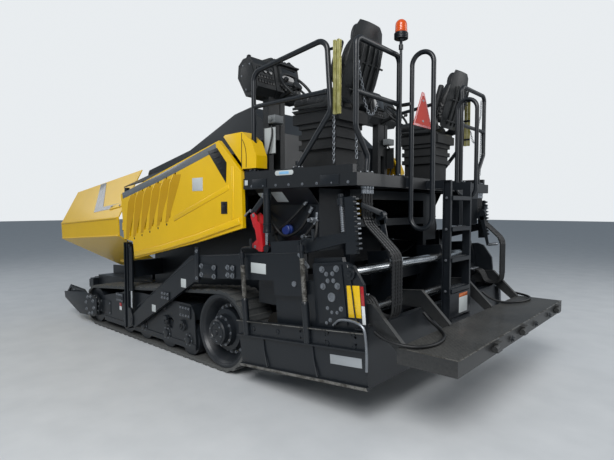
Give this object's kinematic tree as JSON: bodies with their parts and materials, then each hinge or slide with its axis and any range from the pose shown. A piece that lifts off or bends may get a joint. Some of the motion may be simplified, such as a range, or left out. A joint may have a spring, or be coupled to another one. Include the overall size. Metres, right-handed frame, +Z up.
{
  "type": "asphalt paver",
  "caption": "Rubber-tracked asphalt paver with folding hopper wings, slat conveyor, augers, twin driving stations on a railed deck, and a raised screed with sliding extensions.",
  "frame": {"origin": "middle of the whole machine's length and width, on the ground", "axes": "+X forward to the hopper and push rollers, +Y to the machine's left, +Z up"},
  "size_m": [6.318, 2.704, 3.1],
  "materials": {
    "painted_charcoal": "satin",
    "painted_yellow": "gloss",
    "painted_black": "satin",
    "painted_red": "satin",
    "belt_rubber": "matt",
    "chrome_tube": "polished",
    "worn_steel": "worn",
    "cast_grey": "rough",
    "seat_vinyl": "satin",
    "bellows_rubber": "matt",
    "console_plastic": "matt",
    "beacon_lens": "gloss",
    "sign_orange": "gloss"
  },
  "bodies": {
    "paver": {"chassis": "painted_charcoal", "conveyor": "worn_steel", "track_frame_left": "painted_charcoal", "track_frame_right": "painted_charcoal", "belt_left": "belt_rubber", "belt_right": "belt_rubber", "drive_wheel_left": "painted_charcoal", "drive_wheel_right": "painted_charcoal", "engine_block": "cast_grey", "engine_hood": "painted_charcoal", "door_posts": "painted_charcoal", "body_corners": "painted_yellow", "wing_cylinders": "painted_black", "push_beam": "painted_charcoal", "auger_gearbox": "painted_charcoal", "tow_guides": "painted_charcoal", "lift_cylinders": "painted_charcoal", "travel_locks": "painted_red", "deck": "painted_charcoal", "rear_frame": "painted_black", "hoses_left": "bellows_rubber", "hoses_right": "bellows_rubber", "ladder": "painted_black", "guard_rail_left": "painted_black", "guard_rail_right": "painted_black", "grab_hoops": "painted_black", "beacon": "beacon_lens", "seat_left": "seat_vinyl", "seat_right": "seat_vinyl", "seat_base_left": "bellows_rubber", "seat_base_right": "bellows_rubber", "console_left": "console_plastic", "console_right": "console_plastic", "slow_sign": "sign_orange"},
    "wing_left": {"wing_left": "painted_yellow"},
    "door_left": {"door_left": "painted_yellow"},
    "push_roller_left": {"push_roller_left": "worn_steel"},
    "auger_left": {"auger_left": "worn_steel"},
    "wing_right": {"wing_right": "painted_yellow"},
    "door_right": {"door_right": "painted_yellow"},
    "push_roller_right": {"push_roller_right": "worn_steel"},
    "auger_right": {"auger_right": "worn_steel"},
    "screed": {"tow_arm_left": "painted_charcoal", "tow_arm_right": "painted_charcoal", "screed_frame": "painted_charcoal", "screed_plate": "worn_steel", "walkway": "worn_steel"},
    "extension_left": {"extension_left": "painted_charcoal", "guide_tubes_left": "chrome_tube", "end_gate_left": "painted_charcoal"},
    "extension_right": {"extension_right": "painted_charcoal", "guide_tubes_right": "chrome_tube", "end_gate_right": "painted_charcoal"}
  },
  "joints": [
    {"name": "wing_left_fold", "type": "hinge", "parent": "paver", "child": "wing_left", "pos_m": [1.809, 0.64, 0.775], "axis": [-1, 0, 0], "range_deg": [0, 35]},
    {"name": "door_left_hinge", "type": "hinge", "parent": "paver", "child": "door_left", "pos_m": [1.177, 1.25, 1.53], "axis": [0, 0, -1], "range_deg": [0, 80]},
    {"name": "push_roller_left_spin", "type": "hinge", "parent": "paver", "child": "push_roller_left", "pos_m": [3.074, 0.46, 0.43], "axis": [0, 1, 0], "continuous": true},
    {"name": "auger_left_spin", "type": "hinge", "parent": "paver", "child": "auger_left", "pos_m": [-1.301, 0.61, 0.455], "axis": [0, 1, 0], "continuous": true},
    {"name": "wing_right_fold", "type": "hinge", "parent": "paver", "child": "wing_right", "pos_m": [1.809, -0.64, 0.775], "axis": [1, 0, 0], "range_deg": [0, 35]},
    {"name": "door_right_hinge", "type": "hinge", "parent": "paver", "child": "door_right", "pos_m": [1.177, -1.25, 1.53], "axis": [0, 0, 1], "range_deg": [0, 80]},
    {"name": "push_roller_right_spin", "type": "hinge", "parent": "paver", "child": "push_roller_right", "pos_m": [3.074, -0.46, 0.43], "axis": [0, 1, 0], "continuous": true},
    {"name": "auger_right_spin", "type": "hinge", "parent": "paver", "child": "auger_right", "pos_m": [-1.301, -0.61, 0.455], "axis": [0, 1, 0], "continuous": true},
    {"name": "screed_lift", "type": "hinge", "parent": "paver", "child": "screed", "pos_m": [0.949, 0, 0.24], "axis": [0, 1, 0], "range_deg": [-5, 0]},
    {"name": "extension_left_slide", "type": "slide", "parent": "screed", "child": "extension_left", "axis": [0, 1, 0], "range_m": [0, 1]},
    {"name": "extension_right_slide", "type": "slide", "parent": "screed", "child": "extension_right", "axis": [0, -1, 0], "range_m": [0, 1]}
  ]
}
